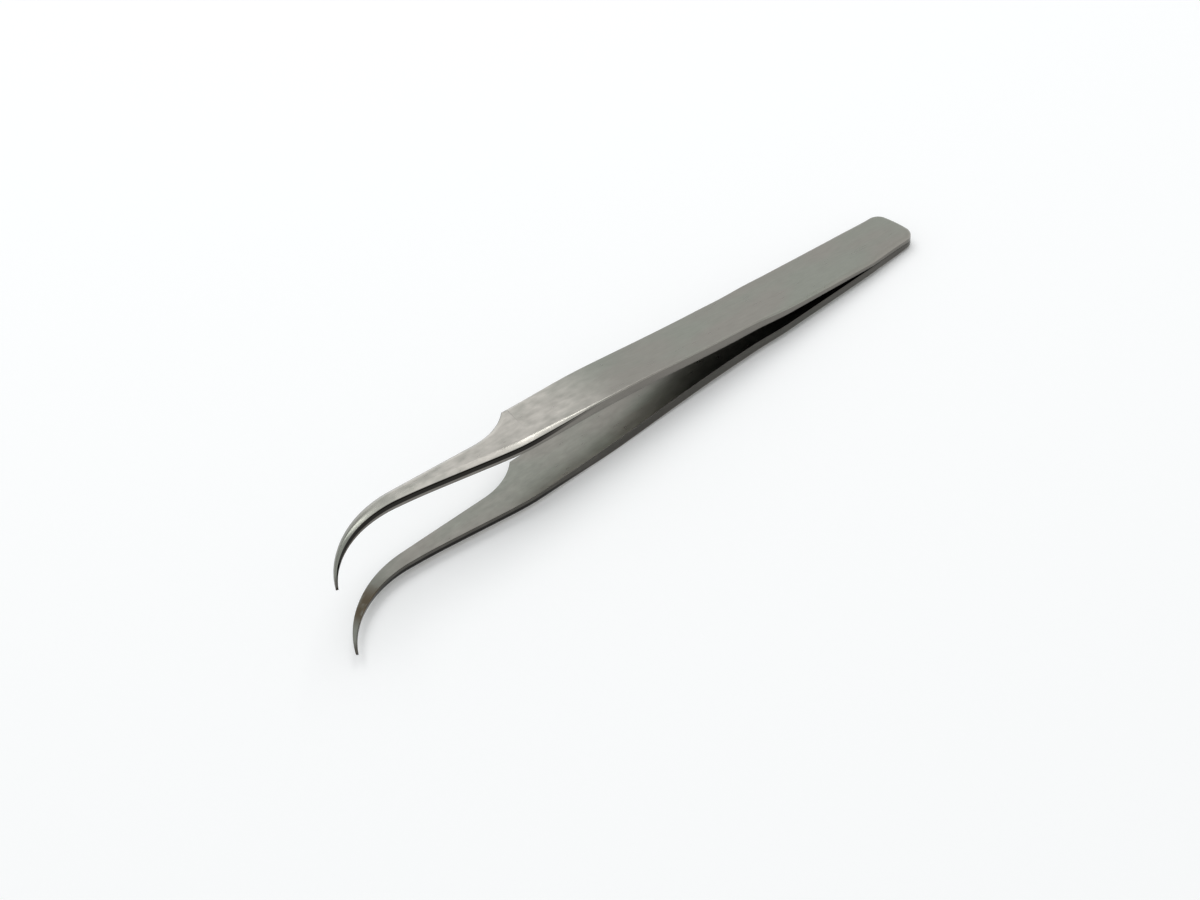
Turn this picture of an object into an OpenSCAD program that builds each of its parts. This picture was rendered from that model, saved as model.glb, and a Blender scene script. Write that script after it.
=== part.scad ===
// Tweezers with curved tips, lying on their side.
// Two stamped steel arms meet face to face at the heel, where they are spot welded and
// ground flush. Each arm is a strip that narrows past the heel, is bent away from its twin,
// steps in at a shoulder on its far edge, tapers into a slim shank and ends in a hook that
// curves to the near side in the plane of the blade. The arms mirror each other.
// While an arm is built, X runs along it from the heel's end, Y is across it (near side
// positive) and Z is the distance from the plane of the weld.

/* [Heel] */
// Width across the heel
heel_w = 10; // [9.4:0.1:11]
// Width at the end of the heel, before it widens
heel_end_w = 9; // [8:0.1:9.4]
// Distance from the end over which the heel widens
heel_flare_len = 10; // [6:0.5:16]
// Radius of the two corners at the heel's end
heel_corner_r = 2.2; // [1.2:0.1:3.2]
// Radius of the slightly bowed edge across the heel's end
heel_bow_r = 24; // [12:1:60]
// Length of the heel over which the arms touch and are welded
weld_len = 11.5; // [8:0.5:16]
// Thickness of one arm at the heel, where it has been ground down
heel_t = 1.4; // [1:0.05:1.6]
// Rounding of the outer face's edges at the heel
heel_edge_r = 0.35; // [0.25:0.05:0.5]

/* [Blade] */
// Distance from the heel's end to the shoulder
shoulder_at = 81.8; // [76:0.2:88]
// Width of the blade behind the shoulder
blade_w = 9.2; // [8.4:0.1:9.4]
// Depth of the shallow waist on each edge of the blade
waist = 0.16; // [0:0.02:0.4]
// Distance from the heel's end to where the arm starts to narrow to the blade
narrow_at = 30.5; // [26:0.5:32]
// Length over which the arm narrows from heel to blade
narrow_len = 8; // [4:0.5:10]
// Thickness of the strip that the arms are stamped from
strip_t = 1.7; // [1.2:0.05:1.9]
// Rounding of the outer face's edges past the heel
edge_r = 0.25; // [0.1:0.05:0.35]

/* [Spring bend] */
// Angle at which each arm leaves the weld
leave_angle = 3; // [2:0.25:5]
// Distance from the heel's end to the knee of the bend
knee_at = 35; // [32:0.5:38]
// Gap between the arms at the knee
knee_gap = 2.1; // [1.6:0.1:3]
// Distance from the heel's end to where the arms bow apart
bow_at = 46; // [42:0.5:52]
// Gap between the arms where they start to bow apart
bow_gap = 3.4; // [2.8:0.1:4.4]
// Distance from the heel's end to the belly of the bend
belly_at = 66.5; // [60:0.5:70]
// Gap between the arms at the belly
belly_gap = 7.1; // [6:0.1:8.4]
// Gap between the arms at the shoulder
shoulder_gap = 8.7; // [8:0.1:9.6]
// Gap between the tips when the tweezers are open
tip_gap = 12.6; // [10.6:0.2:14]

/* [Shank] */
// Length of the shank, from the shoulder to the start of the hook
shank_len = 22.8; // [18:0.2:28]
// Radius of the concave shoulder that steps in on the far edge
shoulder_r = 10; // [7:0.5:14]
// Distance from the middle line to the shank's far edge
shank_far = 1.2; // [0.9:0.05:1.5]
// Distance past the shoulder at which the near edge starts to taper
taper_lead = 2.25; // [0:0.25:5]
// Distance from the middle line to the near edge where the taper meets the hook
taper_end = 1.25; // [0.8:0.05:1.4]
// Width of the crowned strip along each edge of the shank's outer face
bevel_w = 1.15; // [0.7:0.05:1.4]
// Drop of that strip from the outer face to the edge
bevel_drop = 0.5; // [0.1:0.05:0.6]
// Inset of the shank's far side at its outer face
far_inset = 0.4; // [0:0.05:0.5]

/* [Hook] */
// Radius of the hook, on the middle line
hook_r = 16.6; // [12:0.2:22]
// Angle through which the hook turns
hook_angle = 67.5; // [45:0.5:80]
// Width of the hook at its root
hook_root_w = 3; // [2.4:0.05:3.4]
// Width of the blunt end of the tip
tip_w = 0.4; // [0.24:0.02:0.7]
// Thickness of one arm at the end of the tip
tip_t = 0.55; // [0.35:0.05:0.8]

/* [Fineness] */
// Steps round each corner of the heel's end
corner_steps = 8; // [4:1:12]
// Steps along the blade, from heel to shoulder
blade_steps = 34; // [24:1:48]
// Steps along the shoulder and the shank
shank_steps = 20; // [12:1:28]
// Steps round the hook
hook_steps = 24; // [12:1:32]

/* [Hidden] */

steel = [0.58, 0.58, 0.56];
steel_shade = [0.50, 0.50, 0.48];

hook_at = shoulder_at + shank_len;
hook_len = hook_r * hook_angle * PI / 180;
arm_len = hook_at + hook_len;
// share of the hook over which its root blends into the shank
root_share = 0.2;
// share of the strip's thickness at which its edge bulges most
bulge_share = 0.45;
// break on the sharp edges of the inner face
inner_break = 0.1;
// hollow of the strip's edge above and below its bulge
edge_hollow = 0.05;
// part of the half width that a bevel may use, so that a ridge is left
ridge_share = 0.96;
// rounding of the blends between the tapers
blend_r = 0.12;
// how the hook's width and thickness fall off towards the tip
width_fall = 1.15;
thickness_fall = 0.8;

// Blends
function ramp(x) = let (k = min(1, max(0, x))) k * k * (3 - 2 * k);
function soft_max(a, b) = max(a, b) + blend_r * ln(1 + exp(-abs(a - b) / blend_r));
function soft_min(a, b) = -soft_max(-a, -b);
function cubic(t, y0, y1, m0, m1) =
    let (t2 = t * t, t3 = t2 * t)
    (2 * t3 - 3 * t2 + 1) * y0 + (t3 - 2 * t2 + t) * m0 + (3 * t2 - 2 * t3) * y1 + (t3 - t2) * m1;

// Widths on each side of the middle line, at a distance s along the arm
heel_corner_y = heel_end_w / 2 - heel_corner_r;
heel_corner_turn = asin(heel_corner_y / (heel_bow_r - heel_corner_r));
heel_corner_s = heel_bow_r - (heel_bow_r - heel_corner_r) * cos(heel_corner_turn);

function blade_half(s) =
    let (heel = heel_end_w + (heel_w - heel_end_w) * ramp((s - heel_corner_s) / heel_flare_len),
         narrowed = heel + (blade_w - heel) * ramp((s - narrow_at) / narrow_len),
         waist_from = narrow_at + narrow_len,
         bow = max(0, min(1, (s - waist_from) / (shoulder_at - waist_from))))
    narrowed / 2 - waist * pow(sin(180 * bow), 2);

function hook_half(s) =
    let (left = (arm_len - s) / hook_len)
    tip_w / 2 + (hook_root_w - tip_w) / 2 * pow(max(0, left), width_fall);

function near_half(s) =
    let (taper_at = shoulder_at + taper_lead,
         fall = (blade_w / 2 - taper_end) / (hook_at - taper_at),
         taper = blade_w / 2 - fall * (s - taper_at))
    s <= shoulder_at - taper_lead ? blade_half(s)
    : s >= hook_at + root_share * hook_len ? hook_half(s)
    : soft_min(blade_half(s), soft_max(taper, hook_half(s)));

shoulder_step = blade_w / 2 - shank_far;
shoulder_run = sqrt(pow(shoulder_r, 2) - pow(shoulder_r - shoulder_step, 2));

function far_half(s) =
    let (short = max(0, shoulder_at + shoulder_run - s))
    s <= shoulder_at ? blade_half(s)
    : short > 0 ? shank_far + shoulder_r - sqrt(pow(shoulder_r, 2) - pow(short, 2))
    : soft_min(shank_far, hook_half(s));

// Distance of the inner face from the plane of the weld
bend = [
    [weld_len, 0],
    [knee_at, knee_gap / 2],
    [bow_at, bow_gap / 2],
    [belly_at, belly_gap / 2],
    [shoulder_at, shoulder_gap / 2],
    [arm_len, tip_gap / 2]
];

function bend_slope(i) =
    i == 0 ? tan(leave_angle)
    : let (a = bend[i - 1], b = bend[min(i + 1, len(bend) - 1)]) (b[1] - a[1]) / (b[0] - a[0]);

function half_gap(s, i = 0) =
    s <= weld_len ? 0
    : i < len(bend) - 2 && s > bend[i + 1][0] ? half_gap(s, i + 1)
    : let (a = bend[i], b = bend[i + 1], run = b[0] - a[0])
      cubic((s - a[0]) / run, a[1], b[1], run * bend_slope(i), run * bend_slope(i + 1));

function thickness(s) =
    let (left = min(1, max(0, (arm_len - s) / hook_len)),
         strip = heel_t + (strip_t - heel_t) * ramp((s - narrow_at + narrow_len / 2) / (2 * narrow_len)))
    tip_t + (strip - tip_t) * pow(left, thickness_fall);

// Stations: distance along the arm, then the widths to the near and far edges
bow_stations = [for (k = [1 : 3]) let (a = heel_corner_turn * k / 4)
    [heel_bow_r * (1 - cos(a)), heel_bow_r * sin(a), heel_bow_r * sin(a)]];
corner_stations = [for (k = [0 : corner_steps])
    let (a = heel_corner_turn + (90 - heel_corner_turn) * k / corner_steps,
         y = heel_corner_y + heel_corner_r * sin(a))
    [heel_corner_s - heel_corner_r * cos(a), y, y]];
blade_stations = [for (k = [1 : blade_steps])
    let (s = heel_corner_s + (shoulder_at - heel_corner_s) * k / blade_steps)
    [s, near_half(s), far_half(s)]];
shank_stations = [for (k = [1 : shank_steps])
    let (s = shoulder_at + shank_len * pow(k / shank_steps, 1.25))
    [s, near_half(s), far_half(s)]];
hook_stations = [for (k = [1 : hook_steps])
    let (s = hook_at + hook_len * k / hook_steps)
    [s, near_half(s), far_half(s)]];
stations = concat(bow_stations, corner_stations, blade_stations, shank_stations, hook_stations);
n = len(stations);

// Outline seen from above: up the near edge, across the tip, back down the far edge
function on_plan(s, across) =
    let (a = max(0, s - hook_at) / hook_r * 180 / PI)
    s <= hook_at ? [s, across]
    : [hook_at + (hook_r - across) * sin(a), hook_r - (hook_r - across) * cos(a)];

function station_of(i) = i < n ? i : 2 * n - 1 - i;
outline = [for (i = [0 : 2 * n - 1]) let (st = stations[station_of(i)])
    on_plan(st[0], i < n ? st[1] : -st[2])];

function inward(i) =
    let (a = outline[(i + 2 * n - 1) % (2 * n)], b = outline[i], c = outline[(i + 1) % (2 * n)],
         d1 = (b - a) / norm(b - a), d2 = (c - b) / norm(c - b),
         n1 = [d1.y, -d1.x], n2 = [d2.y, -d2.x])
    (n1 + n2) / (1 + n1 * n2);

// Section of the strip: inset from the outline, then height over the inner face
function shank_share(s) = ramp((s - shoulder_at + shoulder_run) / (2 * shoulder_run));

function section(s, half) =
    let (t = thickness(s),
         shank = shank_share(s),
         behind = 1 - ramp((s - narrow_at) / narrow_len),
         r = min(edge_r + (heel_edge_r - edge_r) * behind, half / 2, t / 3),
         break = min(inner_break, half / 4),
         hollow = min(edge_hollow, half / 8),
         bevel = min(hollow + r + (bevel_w - r) * shank, ridge_share * half),
         drop = min(bevel_drop, 0.4 * t) * shank)
    [
        [break, 0],
        [hollow / 2, break],
        [0, bulge_share * t],
        [hollow, t - drop - r],
        [hollow + 0.3 * r, t - drop - 0.3 * r],
        [min(hollow + r, (0.3 + ridge_share) / 1.3 * half), t - drop],
        [max(bevel, min(hollow + r, ridge_share * half)), t]
    ];

rings = len(section(0, 1));

function ring_point(k, i) =
    let (st = stations[station_of(i)],
         half = (st[1] + st[2]) / 2,
         layer = section(st[0], half)[k],
         lean = i < n ? 0 : min(far_inset, 0.2 * half) * shank_share(st[0]) * layer[1] / thickness(st[0]),
         p = outline[i] + inward(i) * (layer[0] + lean))
    [p.x, p.y, half_gap(st[0]) + layer[1]];

arm_points = [for (k = [0 : rings - 1], i = [0 : 2 * n - 1]) ring_point(k, i)];

function at(k, i) = k * 2 * n + i % (2 * n);
side_faces = [for (k = [0 : rings - 2], i = [0 : 2 * n - 1], half = [0, 1])
    half == 0 ? [at(k, i), at(k, i + 1), at(k + 1, i + 1)]
    : [at(k, i), at(k + 1, i + 1), at(k + 1, i)]];
function cap_faces(k, flip) = [for (i = [0 : n - 2], half = [0, 1])
    let (a = at(k, i), b = at(k, i + 1), c = at(k, 2 * n - 2 - i), d = at(k, 2 * n - 1 - i),
         tri = half == 0 ? [a, b, c] : [a, c, d])
    flip ? [tri[2], tri[1], tri[0]] : tri];
arm_faces = concat(side_faces, cap_faces(0, true), cap_faces(rings - 1, false));

// Resting pose: the heel's end and the belly of the lower arm lie on the surface
heel_foot = arm_points[at(rings - 1, 0)];
rest_tilt = max([for (i = [1 : n - 1]) let (p = arm_points[at(rings - 1, i)])
    atan2(p.z - heel_foot.z, p.x - heel_foot.x)]);
function tilted(p) = [
    p.x * cos(rest_tilt) - p.z * sin(rest_tilt),
    p.y,
    p.x * sin(rest_tilt) + p.z * cos(rest_tilt)
];
posed = concat([for (p = arm_points) tilted(p)], [for (p = arm_points) tilted([p.x, p.y, -p.z])]);
low = [min([for (p = posed) p.x]), min([for (p = posed) p.y]), min([for (p = posed) p.z])];
high = [max([for (p = posed) p.x]), max([for (p = posed) p.y])];

module rest_pose() {
    translate([-(low.x + high.x) / 2, -(low.y + high.y) / 2, -low.z])
        rotate([0, -rest_tilt, 0])
            children();
}

// One arm, lofted from its sections
module arm() {
    polyhedron(points = arm_points, faces = arm_faces, convexity = 6);
}

module upper_arm() {
    color(steel) rest_pose() arm();
}

module lower_arm() {
    color(steel_shade) rest_pose() mirror([0, 0, 1]) arm();
}

upper_arm();
lower_arm();
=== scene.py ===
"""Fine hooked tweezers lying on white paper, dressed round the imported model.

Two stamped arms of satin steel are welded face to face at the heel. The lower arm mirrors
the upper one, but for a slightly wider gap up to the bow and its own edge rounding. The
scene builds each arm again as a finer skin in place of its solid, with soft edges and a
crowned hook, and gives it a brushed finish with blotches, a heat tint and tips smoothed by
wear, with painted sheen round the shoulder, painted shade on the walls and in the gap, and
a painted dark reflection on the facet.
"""
from __future__ import annotations

import logging
import math
from dataclasses import dataclass, field
from enum import Enum
from typing import Any, Union

import bmesh
import bpy
from mathutils import Matrix, Vector


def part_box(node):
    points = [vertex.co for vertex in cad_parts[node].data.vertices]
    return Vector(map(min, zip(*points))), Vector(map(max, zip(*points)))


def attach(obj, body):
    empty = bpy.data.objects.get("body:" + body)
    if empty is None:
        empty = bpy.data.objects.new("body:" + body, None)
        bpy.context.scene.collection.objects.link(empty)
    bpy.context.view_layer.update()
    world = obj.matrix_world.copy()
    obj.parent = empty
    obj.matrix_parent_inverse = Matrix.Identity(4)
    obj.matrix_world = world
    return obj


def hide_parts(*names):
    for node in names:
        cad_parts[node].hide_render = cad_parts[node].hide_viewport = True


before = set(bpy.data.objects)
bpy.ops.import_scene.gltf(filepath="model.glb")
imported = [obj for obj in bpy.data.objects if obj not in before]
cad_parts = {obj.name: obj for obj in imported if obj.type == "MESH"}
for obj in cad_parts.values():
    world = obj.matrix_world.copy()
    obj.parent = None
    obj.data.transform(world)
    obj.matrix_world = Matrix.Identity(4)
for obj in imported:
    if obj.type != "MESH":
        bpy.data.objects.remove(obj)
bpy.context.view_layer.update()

LOG = logging.getLogger("tweezers")
MM = 0.001
BODY = "root"
NOISE_MEAN = 0.5

Colour = tuple[float, float, float]
Triple = tuple[float, float, float]
Span = tuple[float, float]


class Side(Enum):
    """Which of the two arms a piece is, by the side of the weld it lies on."""

    UPPER = 1
    LOWER = -1

    @property
    def node(self) -> str:
        """Name of the arm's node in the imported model."""
        return f"{self.name.lower()}_arm"


def ramp(x: float) -> float:
    """Smooth step from 0 to 1 as x goes from 0 to 1."""
    k = min(1.0, max(0.0, x))
    return k * k * (3 - 2 * k)


def to_object(mesh: bmesh.types.BMesh, name: str) -> bpy.types.Object:
    """Puts a finished mesh into the scene as an object, and frees it.

    Args:
        mesh: The mesh, in metres, with its place in its points.
        name: Name of the object and of its mesh.

    Returns:
        The object, at the origin.
    """
    data = bpy.data.meshes.new(name)
    mesh.to_mesh(data)
    mesh.free()
    made = bpy.data.objects.new(name, data)
    bpy.context.scene.collection.objects.link(made)
    return made


# Shape of an arm


@dataclass(frozen=True)
class Heel:
    """The welded end, in millimetres.

    The tweezers rest on the rounded edge of its end, at the distance foot from the very end.
    """

    width: float = 10.0
    end_width: float = 9.0
    flare_len: float = 10.0
    corner_r: float = 2.2
    bow_r: float = 24.0
    weld_len: float = 11.5
    thickness: float = 1.4
    foot: float = 0.35

    @property
    def corner_y(self) -> float:
        """Distance of a corner's centre from the middle line."""
        return self.end_width / 2 - self.corner_r

    @property
    def corner_turn(self) -> float:
        """Angle at which the bowed end meets a corner, in radians."""
        return math.asin(self.corner_y / (self.bow_r - self.corner_r))

    @property
    def corner_s(self) -> float:
        """Distance along the arm at which a corner ends."""
        return self.bow_r - (self.bow_r - self.corner_r) * math.cos(self.corner_turn)


@dataclass(frozen=True)
class Blade:
    """The broad part between heel and shoulder, in millimetres.

    Its outer edge is rounded by end_edge_r at the very end, by heel_edge_r along the heel
    and by edge_r ahead of the bow, and drops by edge_limit of the thickness at most.
    """

    shoulder_at: float = 81.8
    width: float = 9.2
    waist: float = 0.16
    narrow_at: float = 30.5
    narrow_len: float = 8.0
    thickness: float = 1.7
    edge_r: float = 0.25
    heel_edge_r: float = 0.8
    edge_limit: float = 0.6
    end_edge_r: float = 0.8
    end_len: float = 5.0


@dataclass(frozen=True)
class Shank:
    """The slim part ahead of the shoulder, in millimetres.

    Its outer face is a crown over a thin facet, and each drops by its share of the
    thickness. The facet and the lean of the far side stay below a share of half the width.
    """

    length: float = 22.8
    shoulder_r: float = 10.0
    far: float = 1.2
    taper_lead: float = 2.25
    taper_end: float = 1.25
    dome_at: float = 66.0
    dome_len: float = 17.0
    crown_w: float = 1.2
    crown_share: float = 0.28
    crown_lead: float = 1.5
    facet_w: float = 0.13
    facet_share: float = 0.39
    facet_limit: float = 0.2
    near_swell: float = 0.1
    swell_share: float = 1 / 3
    far_inset: float = 0.12
    inset_limit: float = 0.2


@dataclass(frozen=True)
class Hook:
    """The curved tip, in millimetres and degrees.

    Its width and thickness run out towards the tip by the powers width_fall and
    thickness_fall. The taper of the shank still blends in over the first root_share of it.
    """

    radius: float = 16.6
    angle: float = 67.5
    root_width: float = 3.0
    tip_width: float = 0.4
    tip_thickness: float = 0.55
    width_fall: float = 1.15
    thickness_fall: float = 0.8
    root_share: float = 0.2
    swell_share: float = 0.5

    @property
    def length(self) -> float:
        """Length of the hook along its middle line."""
        return self.radius * math.radians(self.angle)


@dataclass(frozen=True)
class SpringBend:
    """Distance between the arms, at distances along them, in millimetres.

    The arms part at the weld with a slope of leave_angle degrees each.
    """

    leave_angle: float = 3.0
    knee: Span = (35.0, 2.1)
    bow: Span = (46.0, 3.4)
    belly: Span = (66.5, 7.1)
    shoulder_gap: float = 8.7
    tip_gap: float = 12.6


@dataclass(frozen=True)
class Fineness:
    """Steps along the outline and round the section of an arm.

    The steps along the shank grow towards the hook by the power shank_growth.
    """

    bow: int = 5
    corner: int = 14
    blade: int = 90
    shank: int = 64
    hook: int = 84
    break_steps: int = 3
    wall: int = 6
    facet: int = 3
    crown: int = 12
    shank_growth: float = 1.25


@dataclass(frozen=True)
class Station:
    """A place along the arm, its widths to the near and far edge, and the depth behind it."""

    along: float
    near: float
    far: float
    depth: float = 0.0

    @property
    def half(self) -> float:
        """Half of the width that the insets of a section may use here."""
        return max(self.depth, (self.near + self.far) / 2)


@dataclass
class ArmShape:
    """Rules for the outline, the bend and the section of one arm.

    Attributes:
        blend_r: Rounding where two widths cross, in millimetres.
        inner_break: Rounding of the inner edges, in millimetres.
        heel_break: The same between the weld and the bow.
        edge_hollow: How far the wall draws in above and below its fullest line.
        bulge_share: Height of that line, as a share of the wall.
        ridge_share: Largest reach of the crown, as a share of half the width.
        break_limit: Largest inner rounding, as a share of half the width and the thickness.
        hollow_limit: Largest drawing in of the wall, as a share of half the width.
        closed_share: Share of rounding and drawing in that is left at the very end.
    """

    heel: Heel = field(default_factory=Heel)
    blade: Blade = field(default_factory=Blade)
    shank: Shank = field(default_factory=Shank)
    hook: Hook = field(default_factory=Hook)
    bend: SpringBend = field(default_factory=SpringBend)
    fine: Fineness = field(default_factory=Fineness)
    blend_r: float = 0.12
    inner_break: float = 0.1
    heel_break: float = 0.1
    edge_hollow: float = 0.025
    bulge_share: float = 0.45
    ridge_share: float = 0.96
    break_limit: float = 0.25
    hollow_limit: float = 0.0625
    closed_share: float = 0.1

    @property
    def hook_at(self) -> float:
        """Distance along the arm at which the hook starts."""
        return self.blade.shoulder_at + self.shank.length

    @property
    def length(self) -> float:
        """Length of the arm along its middle line."""
        return self.hook_at + self.hook.length

    @property
    def shoulder_run(self) -> float:
        """Length over which the shoulder steps in."""
        radius = self.shank.shoulder_r
        step = self.blade.width / 2 - self.shank.far
        return math.sqrt(radius**2 - (radius - step) ** 2)

    def soft_max(self, a: float, b: float) -> float:
        """Larger of two widths, with the crossing rounded off."""
        return max(a, b) + self.blend_r * math.log(1 + math.exp(-abs(a - b) / self.blend_r))

    def blade_half(self, s: float) -> float:
        """Half width of the broad part.

        Args:
            s: Distance along the arm.

        Returns:
            The flared heel's, then the slightly waisted blade's half width.
        """
        heel, blade = self.heel, self.blade
        grown = ramp((s - heel.corner_s) / heel.flare_len)
        width = heel.end_width + (heel.width - heel.end_width) * grown
        width += (blade.width - width) * ramp((s - blade.narrow_at) / blade.narrow_len)
        waist_from = blade.narrow_at + blade.narrow_len
        bow = min(1.0, max(0.0, (s - waist_from) / (blade.shoulder_at - waist_from)))
        return width / 2 - blade.waist * math.sin(math.pi * bow) ** 2

    def hook_half(self, s: float) -> float:
        """Half width of the hook.

        Args:
            s: Distance along the arm.

        Returns:
            The half width there, which is the root's before the hook.
        """
        hook = self.hook
        left = max(0.0, (self.length - s) / hook.length)
        return hook.tip_width / 2 + (hook.root_width - hook.tip_width) / 2 * left**hook.width_fall

    def swell(self, s: float) -> float:
        """Slight fullness of the near edge, from the shoulder to the middle of the hook.

        Args:
            s: Distance along the arm.

        Returns:
            What it adds to the near width.
        """
        shank, hook = self.shank, self.hook
        rising = ramp((s - self.blade.shoulder_at) / (shank.length * shank.swell_share))
        falling = 1 - ramp((s - self.hook_at) / (hook.length * hook.swell_share))
        return shank.near_swell * rising * falling

    def near_half(self, s: float) -> float:
        """Width on the near side, which tapers past the shoulder without a step.

        Args:
            s: Distance along the arm.

        Returns:
            Distance from the middle line to the near edge.
        """
        blade, shank = self.blade, self.shank
        if s <= blade.shoulder_at - shank.taper_lead:
            return self.blade_half(s)
        if s >= self.hook_at + self.hook.root_share * self.hook.length:
            return self.hook_half(s) + self.swell(s)
        taper_at = blade.shoulder_at + shank.taper_lead
        fall = (blade.width / 2 - shank.taper_end) / (self.hook_at - taper_at)
        taper = blade.width / 2 - fall * (s - taper_at)
        slim = self.soft_max(taper, self.hook_half(s)) + self.swell(s)
        return -self.soft_max(-self.blade_half(s), -slim)

    def far_half(self, s: float) -> float:
        """Width on the far side, which steps in along an arc at the shoulder.

        Args:
            s: Distance along the arm.

        Returns:
            Distance from the middle line to the far edge.
        """
        radius = self.shank.shoulder_r
        short = max(0.0, self.blade.shoulder_at + self.shoulder_run - s)
        if s <= self.blade.shoulder_at:
            return self.blade_half(s)
        if short > 0:
            return self.shank.far + radius - math.sqrt(radius**2 - short**2)
        return -self.soft_max(-self.shank.far, -self.hook_half(s))

    def half_gap(self, s: float) -> float:
        """Height of the inner face over the plane of the weld.

        Args:
            s: Distance along the arm.

        Returns:
            Half of the gap, on one smooth curve through the points of the bend.
        """
        bend = self.bend
        points = [
            (self.heel.weld_len, 0.0),
            (bend.knee[0], bend.knee[1] / 2),
            (bend.bow[0], bend.bow[1] / 2),
            (bend.belly[0], bend.belly[1] / 2),
            (self.blade.shoulder_at, bend.shoulder_gap / 2),
            (self.length, bend.tip_gap / 2),
        ]
        if s <= points[0][0]:
            return 0.0
        last = len(points) - 1
        slopes = [math.tan(math.radians(bend.leave_angle))]
        for i in range(1, len(points)):
            a, b = points[i - 1], points[min(i + 1, last)]
            slopes.append((b[1] - a[1]) / (b[0] - a[0]))
        i = max(k for k in range(last) if s > points[k][0])
        (s0, y0), (s1, y1) = points[i], points[i + 1]
        run = s1 - s0
        t = (s - s0) / run
        return (
            (2 * t**3 - 3 * t**2 + 1) * y0
            + (t**3 - 2 * t**2 + t) * run * slopes[i]
            + (3 * t**2 - 2 * t**3) * y1
            + (t**3 - t**2) * run * slopes[i + 1]
        )

    def thickness(self, s: float) -> float:
        """Thickness of the strip, which grows past the heel and falls along the hook.

        Args:
            s: Distance along the arm.

        Returns:
            The thickness there.
        """
        blade, hook = self.blade, self.hook
        left = min(1.0, max(0.0, (self.length - s) / hook.length))
        grown = ramp((s - blade.narrow_at + blade.narrow_len / 2) / (2 * blade.narrow_len))
        strip = self.heel.thickness + (blade.thickness - self.heel.thickness) * grown
        return hook.tip_thickness + (strip - hook.tip_thickness) * left**hook.thickness_fall

    def end_stations(self) -> list[Station]:
        """Places round the bowed end of the heel and its corners.

        Returns:
            The stations, from the middle out.
        """
        heel, fine = self.heel, self.fine
        turn, depth = heel.corner_turn, heel.end_width / 2
        places: list[Station] = []
        for k in range(1, fine.bow):
            angle = turn * k / fine.bow
            y = heel.bow_r * math.sin(angle)
            places.append(Station(heel.bow_r * (1 - math.cos(angle)), y, y, depth))
        for k in range(fine.corner + 1):
            angle = turn + (math.pi / 2 - turn) * k / fine.corner
            y = heel.corner_y + heel.corner_r * math.sin(angle)
            s = heel.corner_s - heel.corner_r * math.cos(angle)
            places.append(Station(s, y, y, depth))
        return places

    def stations(self) -> list[Station]:
        """Places along the arm.

        Returns:
            The stations, from the middle of the heel's end to the tip.
        """
        fine, start, shoulder = self.fine, self.heel.corner_s, self.blade.shoulder_at
        along = [start + (shoulder - start) * k / fine.blade for k in range(1, fine.blade + 1)]
        along += [
            shoulder + self.shank.length * (k / fine.shank) ** fine.shank_growth
            for k in range(1, fine.shank + 1)
        ]
        along += [self.hook_at + self.hook.length * k / fine.hook for k in range(1, fine.hook + 1)]
        return self.end_stations() + [Station(s, self.near_half(s), self.far_half(s)) for s in along]

    def on_plan(self, s: float, across: float) -> Vector:
        """Bends a point of the straightened arm round the hook.

        Args:
            s: Distance along the arm.
            across: Distance from the middle line, towards the near side.

        Returns:
            The point of the plan.
        """
        turn = max(0.0, s - self.hook_at) / self.hook.radius
        if turn <= 0:
            return Vector((s, across))
        reach = self.hook.radius - across
        return Vector(
            (self.hook_at + reach * math.sin(turn), self.hook.radius - reach * math.cos(turn))
        )

    def shank_share(self, s: float) -> float:
        """0 on the blade, 1 on the shank, and a smooth change at the shoulder."""
        run = self.shoulder_run
        return ramp((s - self.blade.shoulder_at + run) / (2 * run))

    def dome_share(self, s: float) -> float:
        """0 where the outer face is flat, 1 where it is domed."""
        return ramp((s - self.shank.dome_at) / self.shank.dome_len)

    def seam_share(self, s: float) -> float:
        """1 along the weld, 0 from the bow on, and a smooth change between them."""
        weld = self.heel.weld_len
        return 1 - ramp((s - weld) / (self.bend.bow[0] - weld))

    def inner_edge(self, s: float, half: float) -> Span:
        """Rounding of the inner edge, and how far the wall draws in.

        Args:
            s: Distance along the arm.
            half: Half of the width there.

        Returns:
            The radius of the rounding, and the drawing in.
        """
        weld, limit = self.heel.weld_len, self.break_limit
        opened = ramp((s - weld / 2) / weld) * self.seam_share(s)
        radius = self.inner_break + (self.heel_break - self.inner_break) * opened
        left = self.closed_share + (1 - self.closed_share) * ramp(s / weld)
        radius = min(radius, half * limit, self.thickness(s) * limit)
        return radius * left, min(self.edge_hollow, half * self.hollow_limit) * left

    def outer_edge(self, s: float, half: float) -> Span:
        """Reach and drop of the outer edge's rounding, which widens into the crown.

        Args:
            s: Distance along the arm.
            half: Half of the width there.

        Returns:
            How far it reaches in over the face, and how far it drops.
        """
        blade, shank, t, dome = self.blade, self.shank, self.thickness(s), self.dome_share(s)
        edge = blade.edge_r + (blade.heel_edge_r - blade.edge_r) * self.seam_share(s)
        edge += (blade.end_edge_r - edge) * (1 - ramp(s / blade.end_len))
        reach = min(edge + (shank.crown_w - edge) * dome, self.ridge_share * half)
        drop = edge + (shank.crown_share * t - edge) * dome
        most = blade.edge_limit + (shank.crown_share - blade.edge_limit) * dome
        return reach, min(drop, most * t)

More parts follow.
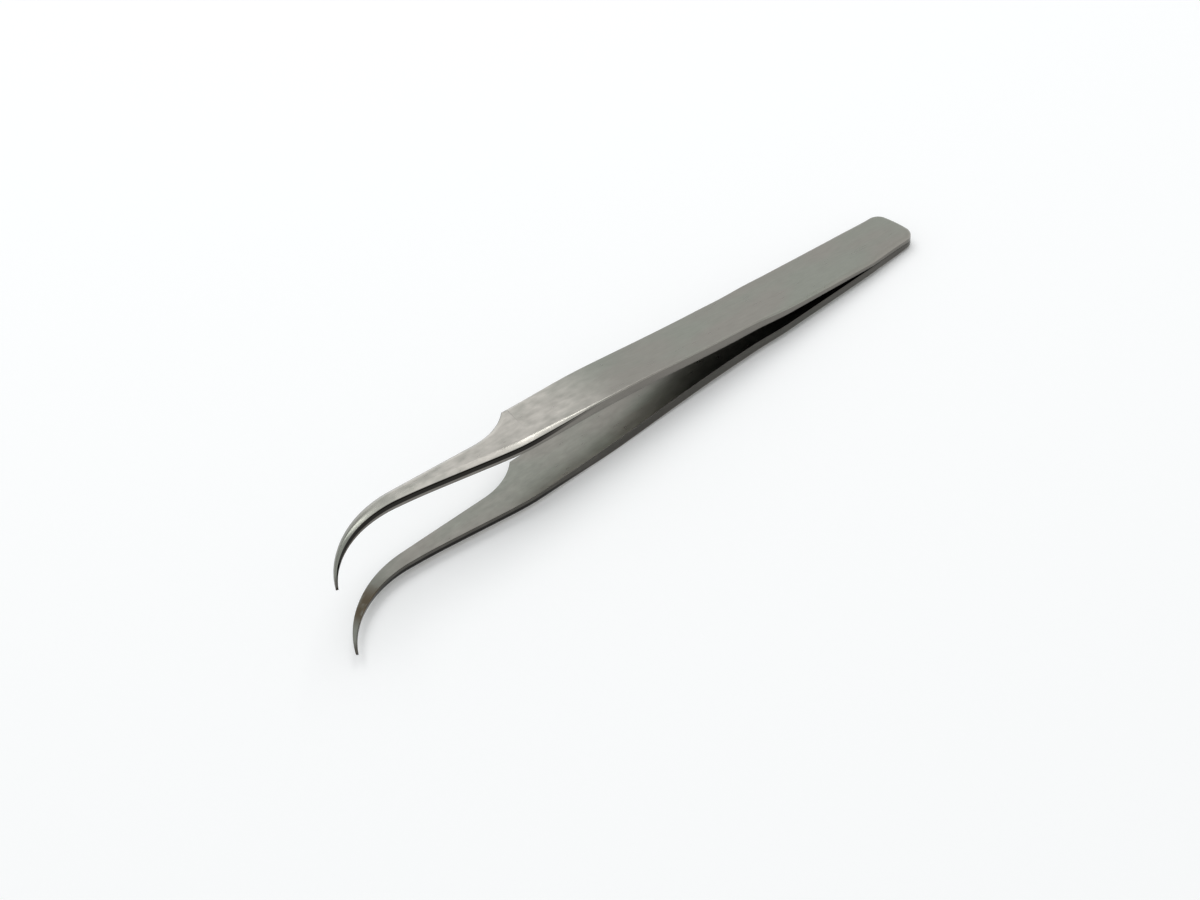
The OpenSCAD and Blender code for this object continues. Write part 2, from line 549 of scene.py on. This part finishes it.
    def section(self, s: float, half: float) -> list[Span]:
        """Rounding, wall, facet and crown of one section, from inner to outer face.

        Args:
            s: Distance along the arm.
            half: Half of the width there.

        Returns:
            For each ring of the skin, its inset from the outline and its height over the
            inner face.
        """
        fine, shank, t, dome = self.fine, self.shank, self.thickness(s), self.dome_share(s)
        inner, hollow = self.inner_edge(s, half)
        reach, drop = self.outer_edge(s, half)
        facet_w = min(shank.facet_w, half * shank.facet_limit) * dome
        facet = shank.facet_share * t * dome
        top = t - drop - facet
        rings: list[Span] = []
        for k in range(fine.break_steps):
            angle = math.pi / 2 * k / fine.break_steps
            inset = hollow + (inner - hollow) * (1 - math.sin(angle))
            rings.append((inset, inner * (1 - math.cos(angle))))
        bulge = inner + (top - inner) * self.bulge_share
        for k in range(fine.wall):
            height = inner + (top - inner) * k / fine.wall
            away = abs(height - bulge) / ((bulge - inner) if height < bulge else (top - bulge))
            rings.append((hollow * away**2, height))
        for k in range(fine.facet):
            share = k / fine.facet
            rings.append((hollow + facet_w * share ** (2 - dome), top + facet * share))
        start, lead = hollow + facet_w, shank.crown_lead
        for k in range(fine.crown + 1):
            share = k / fine.crown
            angle = math.pi / 2 * share
            arc_in, arc_up = 1 - math.cos(angle), math.sin(angle)
            soft_in, soft_up = lead * share + (1 - lead) * share**2, 2 * share - share**2
            rings.append((
                start + (reach - start) * (arc_in + (soft_in - arc_in) * dome),
                top + facet + drop * (arc_up + (soft_up - arc_up) * dome),
            ))
        return rings


SHAPES = {
    Side.UPPER: ArmShape(),
    Side.LOWER: ArmShape(
        heel=Heel(weld_len=9.5),
        blade=Blade(heel_edge_r=0.3),
        bend=SpringBend(leave_angle=4.0, knee=(33.0, 2.4), bow=(46.0, 3.5)),
        heel_break=0.2,
    ),
}


# Building the skins


@dataclass
class ArmSkin:
    """One arm as a closed skin, which keeps three layers of values on its points.

    Attributes:
        side: Which arm it is.
        shape: The rules of its shape.
        blank_layer: Layer of distances along, across and through the straightened arm.
        rim_layer: Layer that is 1 on the wall and the facet.
        band_layer: Layer that rises to 1 on the facet, with the dome, where the dark reflection is
            painted.
        merge: Distance below which points are merged, in millimetres.
    """

    side: Side
    shape: ArmShape
    blank_layer: str = "blank"
    rim_layer: str = "rim"
    band_layer: str = "band"
    merge: float = 0.0001

    def tilt(self, places: list[Station]) -> float:
        """Angle at which the tweezers lie on heel and belly.

        Args:
            places: Stations from heel to tip.

        Returns:
            The angle in radians.
        """
        shape = self.shape
        foot = places[0].along + shape.heel.foot
        start = shape.half_gap(0.0) + shape.thickness(0.0)
        return max(
            math.atan2(shape.half_gap(p.along) + shape.thickness(p.along) - start, p.along - foot)
            for p in places
            if p.along > shape.heel.corner_s
        )

    def outline(self, places: list[Station]) -> list[Vector]:
        """Plan of the arm.

        Args:
            places: Stations from heel to tip.

        Returns:
            Its corners, up the near edge, round the tip and back down the far edge.
        """
        near = [self.shape.on_plan(p.along, p.near) for p in places]
        far = [self.shape.on_plan(p.along, -p.far) for p in reversed(places)]
        return near + far

    @staticmethod
    def inward(outline: list[Vector]) -> list[Vector]:
        """Mitred directions into the plan.

        Args:
            outline: Corners of the plan.

        Returns:
            A direction for each corner, as long as an inset of one needs.
        """
        count = len(outline)
        result: list[Vector] = []
        for i, here in enumerate(outline):
            before = (here - outline[i - 1]).normalized()
            after = (outline[(i + 1) % count] - here).normalized()
            first, second = Vector((before.y, -before.x)), Vector((after.y, -after.x))
            result.append((first + second) / (1 + first.dot(second)))
        return result

    def rings(self, places: list[Station]) -> list[list[tuple[Vector, Vector]]]:
        """Points of every ring, in the arm's own frame.

        Args:
            places: Stations from heel to tip.

        Returns:
            For each ring, a pair for each point: its place, and its distance along,
            across and through the straightened arm.
        """
        shape, shank, sign = self.shape, self.shape.shank, self.side.value
        outline = self.outline(places)
        inward = self.inward(outline)
        stations = places + places[::-1]
        layers = [shape.section(p.along, p.half) for p in stations]
        result: list[list[tuple[Vector, Vector]]] = []
        for k in range(len(layers[0])):
            ring: list[tuple[Vector, Vector]] = []
            for i, place in enumerate(stations):
                inset, height = layers[i][k]
                near = i < len(places)
                if not near:
                    lean = min(shank.far_inset, shank.inset_limit * place.half)
                    share = height / shape.thickness(place.along)
                    inset += lean * shape.shank_share(place.along) * share
                plan = outline[i] + inward[i] * inset
                level = sign * (shape.half_gap(place.along) + height)
                across = place.near - inset if near else inset - place.far
                ring.append((Vector((*plan, level)), Vector((place.along, across, height))))
            result.append(ring)
        return result

    @staticmethod
    def close(mesh: bmesh.types.BMesh, ring: list[bmesh.types.BMVert]) -> None:
        """Closes a face of the arm by a bridge from its near edge to its far edge.

        Args:
            mesh: The arm's mesh.
            ring: The points round the face, near edge first.
        """
        half = len(ring) // 2
        chains = [ring[:half], ring[half:]]
        edges = [mesh.edges.get(pair) for chain in chains for pair in zip(chain, chain[1:])]
        bmesh.ops.bridge_loops(mesh, edges=edges)

    def draw(self, mesh: bmesh.types.BMesh, places: list[Station]) -> None:
        """Draws the skin up from the inner face, ring by ring, and closes both faces.

        Args:
            mesh: The empty mesh, which is filled in millimetres.
            places: Stations from heel to tip.
        """
        fine, rings = self.shape.fine, self.rings(places)
        facet_from = fine.break_steps + fine.wall
        rim_end = facet_from + fine.facet
        blank = mesh.verts.layers.float_vector.new(self.blank_layer)
        rim = mesh.verts.layers.float.new(self.rim_layer)
        band = mesh.verts.layers.float.new(self.band_layer)
        verts = bmesh.ops.create_circle(mesh, segments=len(rings[0]), radius=1.0)["verts"]
        first = verts
        for k, ring in enumerate(rings):
            if k:
                edges = [mesh.edges.get((v, verts[i - 1])) for i, v in enumerate(verts)]
                drawn = bmesh.ops.extrude_edge_only(mesh, edges=edges)["geom"]
                fresh = {v for v in drawn if isinstance(v, bmesh.types.BMVert)}
                links = [[e.other_vert(v) for e in v.link_edges] for v in verts]
                verts = [next(v for v in ends if v in fresh) for ends in links]
            for vert, (point, straight) in zip(verts, ring):
                dome = self.shape.dome_share(straight.x)
                vert.co = point
                vert[blank] = straight
                vert[rim] = 1.0 if 0 < k <= rim_end else 0.0
                # mask of the facet, where its dark reflection is painted
                vert[band] = dome if facet_from <= k <= rim_end else 0.0
        self.close(mesh, first)
        self.close(mesh, verts)

    def lay(self, mesh: bmesh.types.BMesh, places: list[Station]) -> None:
        """Turns the arm to its resting tilt, in metres, and puts it where its solid lies.

        Args:
            mesh: The arm's mesh, in millimetres.
            places: Stations from heel to tip.
        """
        tilt = self.tilt(places)
        LOG.info("%s lies at %.4f degrees", self.side.node, math.degrees(tilt))
        turn = Matrix.Rotation(-tilt, 4, "Y")
        bmesh.ops.transform(mesh, matrix=Matrix.Scale(MM, 4) @ turn, verts=mesh.verts)
        low = Vector([min(v.co[i] for v in mesh.verts) for i in range(3)])
        high = Vector([max(v.co[i] for v in mesh.verts) for i in range(3)])
        box_low, box_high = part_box(self.side.node)
        shift = (Vector(box_low) + Vector(box_high) - low - high) / 2
        shift.z = box_low[2] - low.z
        bmesh.ops.translate(mesh, vec=shift, verts=mesh.verts)

    def build(self) -> bpy.types.Object:
        """Draws the skin, lays it in its solid's place and smooths it.

        Returns:
            The arm's object, at the origin, with its place in its mesh.
        """
        places = self.shape.stations()
        mesh = bmesh.new()
        self.draw(mesh, places)
        self.lay(mesh, places)
        bmesh.ops.remove_doubles(mesh, verts=mesh.verts, dist=self.merge * MM)
        bmesh.ops.recalc_face_normals(mesh, faces=mesh.faces)
        for face in mesh.faces:
            face.smooth = True
        piece = to_object(mesh, f"{self.side.node}_skin")
        piece.modifiers.new("flat_faces", "WEIGHTED_NORMAL").mode = "FACE_AREA"
        return piece


# Nodes


class Maths(Enum):
    """What a Math node does with its two numbers."""

    ADD = "ADD"
    SUBTRACT = "SUBTRACT"
    MULTIPLY = "MULTIPLY"
    MAXIMUM = "MAXIMUM"


class Blend(Enum):
    """How the second of two colours is laid over the first."""

    MIX = "MIX"
    MULTIPLY = "MULTIPLY"


class Num:
    """A number in a material's graph, with Python's own operators."""

    def __init__(self, graph: "Graph", socket: bpy.types.NodeSocket) -> None:
        """Keeps the graph, and the socket that gives the number."""
        self.graph = graph
        self.socket = socket

    def maths(self, operation: Maths, other: "Value") -> "Num":
        """Adds one Math node.

        Args:
            operation: What it does.
            other: The number it works on after this one.

        Returns:
            Its result.
        """
        values = {0: self, 1: other}
        node = self.graph.node("ShaderNodeMath", {"operation": operation.value}, values)
        return Num(self.graph, node.outputs[0])

    def __add__(self, other: "Value") -> "Num":
        """Sum of two numbers."""
        return self.maths(Maths.ADD, other)

    def __mul__(self, other: "Value") -> "Num":
        """Product of two numbers."""
        return self.maths(Maths.MULTIPLY, other)

    def __sub__(self, other: "Value") -> "Num":
        """Difference of two numbers."""
        return self.maths(Maths.SUBTRACT, other)

    def __rsub__(self, other: "Value") -> "Num":
        """Difference with this number second."""
        return self * -1.0 + other

    def centred(self) -> "Num":
        """The same noise with its mean at 0."""
        return self - NOISE_MEAN

    def smooth(self, low: float, high: float) -> "Num":
        """Smooth step over this number.

        Args:
            low: Where the step is 0. It may be the larger one.
            high: Where it is 1.

        Returns:
            The step.
        """
        node = self.graph.node(
            "ShaderNodeMapRange",
            {"interpolation_type": "SMOOTHSTEP"},
            {"Value": self, "From Min": low, "From Max": high},
        )
        return Num(self.graph, node.outputs["Result"])


Value = Union[Num, bpy.types.NodeSocket, float, tuple]


@dataclass(frozen=True)
class Grain:
    """A noise, by its cells in a millimetre along, across and through the arm."""

    cells: Triple
    detail: float


class Graph:
    """The nodes of one material or world."""

    def __init__(self, owner: Union[bpy.types.Material, bpy.types.World]) -> None:
        """Empties the owner's node tree and keeps it.

        Args:
            owner: The material or world.
        """
        owner.use_nodes = True
        self.tree = owner.node_tree
        self.tree.nodes.clear()

    def feed(self, socket: bpy.types.NodeSocket, value: Value) -> None:
        """Links or sets one input.

        Args:
            socket: The input.
            value: A number, colour, vector or link.
        """
        if isinstance(value, Num):
            value = value.socket
        if isinstance(value, bpy.types.NodeSocket):
            self.tree.links.new(value, socket)
        elif socket.type == "RGBA":
            socket.default_value = (*value, 1.0)
        else:
            socket.default_value = value

    def node(self, kind: str, settings: dict[str, Any], values: dict[Any, Value]) -> bpy.types.Node:
        """Adds a node.

        Args:
            kind: The node's type.
            settings: Its own settings, set first.
            values: What is fed to each input, by its name or index.

        Returns:
            The new node.
        """
        made = self.tree.nodes.new(kind)
        for name, setting in settings.items():
            setattr(made, name, setting)
        for name, value in values.items():
            self.feed(made.inputs[name], value)
        return made

    def mix(
        self, share: Value, first: Value, second: Value, way: Blend = Blend.MIX
    ) -> bpy.types.NodeSocket:
        """Mixes two colours.

        Args:
            share: Share of the second colour.
            first: The colour below.
            second: The colour laid over it.
            way: How it is laid over.

        Returns:
            The socket of the result.
        """
        settings = {"data_type": "RGBA", "blend_type": way.value}
        node = self.node("ShaderNodeMix", settings, {"Factor": share})
        ends = [socket for socket in node.inputs if socket.type == "RGBA"]
        for socket, value in zip(ends, (first, second)):
            self.feed(socket, value)
        return next(socket for socket in node.outputs if socket.type == "RGBA")

    def layer(self, name: str) -> bpy.types.Node:
        """Reads a layer kept on the arm's points."""
        settings = {"attribute_name": name, "attribute_type": "GEOMETRY"}
        return self.node("ShaderNodeAttribute", settings, {})

    def noise(self, place: Value, grain: Grain) -> Num:
        """Noise from 0 to 1.

        Args:
            place: Straightened coordinates of the arm, in millimetres.
            grain: Its cells and detail.

        Returns:
            The noise.
        """
        scaled = self.node(
            "ShaderNodeVectorMath", {"operation": "MULTIPLY"}, {0: place, 1: grain.cells}
        )
        values = {"Vector": scaled.outputs[0], "Scale": 1.0, "Detail": grain.detail}
        return Num(self, self.node("ShaderNodeTexNoise", {}, values).outputs["Fac"])


# Finishes


@dataclass(frozen=True)
class Marks:
    """What a point of the steel knows: where it lies on the arm, its noises and its wear."""

    along: Num
    inner: Num
    rim: Num
    # where the facet's dark reflection is painted
    band: Num
    fine: Num
    broad: Num
    drift: Num
    blotch: Num
    stain: Num
    end: Num


@dataclass(frozen=True)
class SatinSteel:
    """Stainless steel, brushed along the arm, with what handling and heat left on it, and with
    painted sheen, painted shade and a painted dark reflection.

    Attributes:
        name: Name of the material.
        face: Colour of the faces, which drifts to warm over warm_drift of the drift noise.
        pale: Colour of the pale steel round the shoulder, in patches: partly wear, partly painted
            sheen.
        wall: Colour of the wall: the cut edge's darker tone, with painted shade.
        dark_reflection: Colour of the facet, a painted dark reflection.
        gap_shade: Colour of the painted shade on the inner face, where the gap is narrow.
        tint: Colour of the heat stain, on the inner face by the tip.
        burnt: Colour of the tip's end.
        inner_height: Heights over which the inner face ends.
        sheen_and_wear_in: Distances along the arm over which the pale wear and painted sheen begin.
        The other spans named in and out are like it, and heat_in, heat_out and end_in count
        from the tip.
        inner_kept: How much of the inner face the pale wear and painted sheen spare.
        roughness: Roughness of the faces. The values named rough add to it.
        bump_depth: Depth of the brushing, in millimetres.
    """

    name: str
    face: Colour = (0.290, 0.300, 0.262)
    warm: Colour = (0.300, 0.288, 0.258)
    pale: Colour = (0.60, 0.57, 0.52)
    wall: Colour = (0.165, 0.155, 0.14)
    dark_reflection: Colour = (0.018, 0.017, 0.015)
    gap_shade: Colour = (0.10, 0.098, 0.085)
    tint: Colour = (0.105, 0.080, 0.052)
    burnt: Colour = (0.07, 0.06, 0.05)

    fine: Grain = Grain((0.5, 3.5, 3.5), 1.0)
    broad: Grain = Grain((0.16, 1.4, 1.4), 2.0)
    drift: Grain = Grain((0.055, 0.16, 0.5), 2.0)
    blotch: Grain = Grain((0.42, 0.75, 0.5), 3.0)

    warm_drift: Span = (0.38, 0.66)
    inner_height: Span = (0.45, 0.15)
    sheen_and_wear_in: Span = (62.0, 78.0)
    sheen_and_wear_out: Span = (116.0, 98.0)
    narrow_out: Span = (66.0, 44.0)
    shaded_in: Span = (104.0, 116.0)
    handled_in: Span = (99.0, 106.0)
    heat_in: Span = (15.5, 9.5)
    heat_out: Span = (4.0, 7.5)
    heat_blotch: Span = (0.24, 0.50)
    end_in: Span = (2.6, 0.6)

    inner_kept: float = 0.9
    patch_swing: float = 1.3
    patch_level: float = 0.72
    gap_shade_cover: float = 0.9
    wall_cover: float = 0.9
    band_cover: float = 0.95
    shaded: float = 0.22
    fine_swing: float = 0.11
    broad_swing: float = 0.07
    blotch_swing: float = 0.15
    inner_swing: float = 0.25
    stain_cover: float = 0.92
    end_cover: float = 0.8

    roughness: float = 0.30
    wall_roughness: float = 0.16
    broad_rough: float = 0.10
    blotch_rough: float = 0.08
    stain_rough: float = 0.12
    end_rough: float = 0.1
    handled_rough: float = -0.08
    bump_strength: float = 0.1
    bump_depth: float = 0.003

    def marks(self, graph: Graph, skin: ArmSkin) -> Marks:
        """Reads the skin's layers and makes the noises and the wear.

        Args:
            graph: The material's graph.
            skin: The arm, which names its layers and its length.

        Returns:
            The marks.
        """

        def by_tip(span: Span) -> Num:
            """Smooth step between two distances from the tip."""
            return along.smooth(skin.shape.length - span[0], skin.shape.length - span[1])

        place = graph.layer(skin.blank_layer).outputs["Vector"]
        axes = graph.node("ShaderNodeSeparateXYZ", {}, {0: place})
        along, height = Num(graph, axes.outputs[0]), Num(graph, axes.outputs[2])
        inner = height.smooth(*self.inner_height)
        blotch = graph.noise(place, self.blotch)
        heated = by_tip(self.heat_in) * by_tip(self.heat_out)
        return Marks(
            along=along,
            inner=inner,
            rim=Num(graph, graph.layer(skin.rim_layer).outputs["Fac"]),
            band=Num(graph, graph.layer(skin.band_layer).outputs["Fac"]),
            fine=graph.noise(place, self.fine),
            broad=graph.noise(place, self.broad),
            drift=graph.noise(place, self.drift),
            blotch=blotch,
            stain=heated * inner * blotch.smooth(*self.heat_blotch),
            end=by_tip(self.end_in) * self.end_cover,
        )

    def colour(self, graph: Graph, marks: Marks) -> bpy.types.NodeSocket:
        """Lays pale wear with painted sheen, painted shade in the gap, the wall's tone with painted
        shade, the facet's painted dark reflection, grain with painted shade on the hook, stain and
        burnt end over the plain steel.

        Args:
            graph: The material's graph.
            marks: The marks of the arm.

        Returns:
            The socket of the colour.
        """
        along, inner, blotch = marks.along, marks.inner, marks.blotch.centred()
        colour = graph.mix(marks.drift.smooth(*self.warm_drift), self.face, self.warm)
        # pale patches round the shoulder and hook: partly wear, partly painted sheen
        sheen_and_wear = along.smooth(*self.sheen_and_wear_in) * along.smooth(*self.sheen_and_wear_out)
        sheen_and_wear = sheen_and_wear * (1.0 - inner * self.inner_kept)
        patches = blotch * self.patch_swing + self.patch_level
        colour = graph.mix(sheen_and_wear * patches, colour, self.pale)
        # painted shade on the inner faces, where the gap between the arms is narrow
        narrow = inner * along.smooth(*self.narrow_out)
        colour = graph.mix(narrow * self.gap_shade_cover, colour, self.gap_shade)
        # the wall's darker colour: partly the cut edge's own tone, partly painted shade
        colour = graph.mix(marks.rim * self.wall_cover, colour, self.wall)
        # painted dark reflection on the facet
        colour = graph.mix(marks.band * self.band_cover, colour, self.dark_reflection)
        brushed = marks.fine.centred() * self.fine_swing + marks.broad.centred() * self.broad_swing
        grain = brushed + 1.0 - along.smooth(*self.shaded_in) * self.shaded
        grain = grain + blotch * (inner * self.inner_swing + self.blotch_swing)
        shade = graph.node("ShaderNodeCombineColor", {}, {0: grain, 1: grain, 2: grain})
        colour = graph.mix(1.0, colour, shade.outputs[0], Blend.MULTIPLY)
        colour = graph.mix(marks.stain * self.stain_cover, colour, self.tint)
        return graph.mix(marks.end, colour, self.burnt)

    def rough(self, marks: Marks) -> Num:
        """Roughness, which brushing, wall, handling, stain and burnt end change.

        Args:
            marks: The marks of the arm.

        Returns:
            The roughness.
        """
        uneven = marks.broad.centred() * self.broad_rough + marks.blotch.centred() * self.blotch_rough
        rough = uneven + self.roughness + marks.rim * (self.wall_roughness - self.roughness)
        handled = marks.along.smooth(*self.handled_in) * (1.0 - marks.inner) * self.handled_rough
        return rough + marks.stain * self.stain_rough + marks.end * self.end_rough + handled

    def material(self, skin: ArmSkin) -> bpy.types.Material:
        """Makes the material of one arm.

        Args:
            skin: The arm, which names its layers and its length.

        Returns:
            The material, which reads only the layers kept on the skin.
        """
        made = bpy.data.materials.new(self.name)
        graph = Graph(made)
        marks = self.marks(graph, skin)
        depth = self.bump_depth * MM
        bump = graph.node(
            "ShaderNodeBump",
            {},
            {"Strength": self.bump_strength, "Distance": depth, "Height": marks.broad},
        )
        shader = graph.node(
            "ShaderNodeBsdfPrincipled",
            {},
            {
                "Base Color": self.colour(graph, marks),
                "Metallic": 1.0,
                "Roughness": self.rough(marks),
                "Normal": bump.outputs[0],
            },
        )
        graph.node("ShaderNodeOutputMaterial", {}, {"Surface": shader.outputs[0]})
        return made


FINISHES = {
    Side.UPPER: SatinSteel("satin_steel_upper"),
    # the lower arm's darker wall is painted shade from the contact shadow on the paper beside it
    Side.LOWER: SatinSteel("satin_steel_lower", wall=(0.08, 0.076, 0.069)),
}


# Studio


@dataclass(frozen=True)
class Lens:
    """The camera that took the reference view, placed in metres by its own axes."""

    place: Triple = (0.103504, 0.152807, 0.164027)
    right: Triple = (-0.7614, 0.63019, -0.15209)
    down: Triple = (0.52079, 0.45488, -0.7224)
    forward: Triple = (-0.38607, -0.62924, -0.67454)
    focal: float = 46.956
    sensor: float = 36.0
    clip_start: float = 0.005

    def build(self) -> None:
        """Creates the camera and makes it the scene's own."""
        data = bpy.data.cameras.new("reference_view")
        data.lens = self.focal
        data.sensor_width = self.sensor
        data.clip_start = self.clip_start
        camera = bpy.data.objects.new(data.name, data)
        axes = Matrix((self.right, -Vector(self.down), -Vector(self.forward))).transposed()
        camera.matrix_world = Matrix.Translation(self.place) @ axes.to_4x4()
        bpy.context.scene.collection.objects.link(camera)
        bpy.context.scene.camera = camera


@dataclass(frozen=True)
class SoftBox:
    """A square lamp that looks at the tweezers, in metres and watts."""

    name: str
    place: Triple
    size: float
    power: float
    in_metal: bool = True
    on_paper: bool = True

    def build(self) -> None:
        """Creates the lamp."""
        data = bpy.data.lights.new(self.name, "AREA")
        data.size = self.size
        data.energy = self.power
        lamp = bpy.data.objects.new(self.name, data)
        lamp.location = self.place
        lamp.visible_glossy = self.in_metal
        lamp.visible_diffuse = self.on_paper
        lamp.rotation_euler = (-Vector(self.place)).to_track_quat("-Z", "Y").to_euler()
        bpy.context.scene.collection.objects.link(lamp)


@dataclass(frozen=True)
class Studio:
    """White paper, a pale surround, soft lamps and one dark card beside the camera.

    Attributes:
        paper_half: Half of the paper's side, in metres.
        paper_drop: How far the paper lies below the tweezers, in metres.
        paper_lift: Glow of the paper, for rays that only show it.
        card_half: Half of the dark card's width and height, in metres.
        surround: Level of the surround as a light. It shows at a level of 1.
        overhead_in: Heights of a direction over which horizon turns into overhead.
    """

    paper_half: float = 0.9
    paper_cells: int = 4
    paper_drop: float = 0.00002
    paper_colour: Colour = (0.93, 0.94, 0.94)
    paper_glow: Colour = (1.0, 1.0, 1.0)
    paper_lift: float = 0.10
    card_half: Span = (0.115, 0.055)
    card_place: Triple = (-0.01, 0.2, 0.057)
    card_colour: Colour = (0.01, 0.01, 0.01)
    surround: float = 0.55
    horizon: Colour = (1.0, 1.0, 1.0)
    overhead: Colour = (0.88, 0.89, 0.90)
    overhead_in: Span = (0.10, 0.45)
    lamps: tuple[SoftBox, ...] = (
        SoftBox("ceiling_lamp", (-0.15, -0.25, 0.90), 1.0, 5.6, in_metal=False),
        SoftBox("ridge_lamp", (-0.087, 0.059, 0.253), 0.08, 0.006, on_paper=False),
        SoftBox("hook_lamp", (-0.127, -0.007, 0.230), 0.06, 0.04, on_paper=False),
    )

    @staticmethod
    def seen(graph: Graph) -> Num:
        """Tells the rays that show a thing from those that light with it.

        Args:
            graph: The graph of the material or world.

        Returns:
            1 for rays from the camera, from metal and through glass, 0 for the rest.
        """
        path = graph.node("ShaderNodeLightPath", {}, {})
        rays = ("Is Camera Ray", "Is Glossy Ray", "Is Transmission Ray")
        camera, glossy, through = (Num(graph, path.outputs[name]) for name in rays)
        return camera.maths(Maths.MAXIMUM, glossy).maths(Maths.MAXIMUM, through)

    def paper(self) -> None:
        """Lays the white paper under the tweezers."""
        mesh = bmesh.new()
        cells = self.paper_cells
        bmesh.ops.create_grid(mesh, x_segments=cells, y_segments=cells, size=self.paper_half)
        bmesh.ops.translate(mesh, vec=Vector((0, 0, -self.paper_drop)), verts=mesh.verts)
        sheet = to_object(mesh, "paper")
        made = bpy.data.materials.new("white_paper")
        graph = Graph(made)
        matt = graph.node("ShaderNodeBsdfDiffuse", {}, {"Color": self.paper_colour})
        lift = self.seen(graph) * self.paper_lift
        glow = graph.node("ShaderNodeEmission", {}, {"Color": self.paper_glow, "Strength": lift})
        both = graph.node("ShaderNodeAddShader", {}, {0: matt.outputs[0], 1: glow.outputs[0]})
        graph.node("ShaderNodeOutputMaterial", {}, {"Surface": both.outputs[0]})
        sheet.data.materials.append(made)

    def dark_card(self) -> None:
        """Stands a dark card beside the camera, which shows only in the steel."""
        mesh = bmesh.new()
        bmesh.ops.create_grid(mesh, x_segments=1, y_segments=1, size=1.0)
        bmesh.ops.scale(mesh, vec=Vector((*self.card_half, 1.0)), verts=mesh.verts)
        upright = Matrix.Rotation(math.pi / 2, 3, "X")
        bmesh.ops.rotate(mesh, cent=Vector(), matrix=upright, verts=mesh.verts)
        bmesh.ops.translate(mesh, vec=Vector(self.card_place), verts=mesh.verts)
        card = to_object(mesh, "dark_card")
        made = bpy.data.materials.new("dark_card")
        graph = Graph(made)
        matt = graph.node("ShaderNodeBsdfDiffuse", {}, {"Color": self.card_colour})
        graph.node("ShaderNodeOutputMaterial", {}, {"Surface": matt.outputs[0]})
        card.data.materials.append(made)
        card.visible_camera = False
        card.visible_diffuse = False
        card.visible_shadow = False

    def world(self) -> None:
        """Surrounds the paper with white at the horizon and a softer grey above."""
        world = bpy.data.worlds.new("surround")
        bpy.context.scene.world = world
        graph = Graph(world)
        heading = graph.node("ShaderNodeTexCoord", {}, {}).outputs["Generated"]
        up = Num(graph, graph.node("ShaderNodeSeparateXYZ", {}, {0: heading}).outputs[2])
        pale = graph.mix(up.smooth(*self.overhead_in), self.horizon, self.overhead)
        strength = self.seen(graph) * (1 - self.surround) + self.surround
        light = graph.node("ShaderNodeBackground", {}, {"Color": pale, "Strength": strength})
        graph.node("ShaderNodeOutputWorld", {}, {"Surface": light.outputs[0]})

    def build(self) -> None:
        """Sets up paper, card, surround and lamps."""
        self.paper()
        self.dark_card()
        self.world()
        for lamp in self.lamps:
            lamp.build()


def main() -> None:
    """Builds the camera, the studio and the two arms."""
    Lens().build()
    Studio().build()
    bpy.context.scene.view_settings.view_transform = "Standard"
    for side, shape in SHAPES.items():
        skin = ArmSkin(side, shape)
        piece = skin.build()
        piece.data.materials.append(FINISHES[side].material(skin))
        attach(piece, BODY)
        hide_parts(side.node)
        LOG.info("%s: %d faces", piece.name, len(piece.data.polygons))


if __name__ == "__main__":
    logging.basicConfig(level=logging.INFO)
    main()
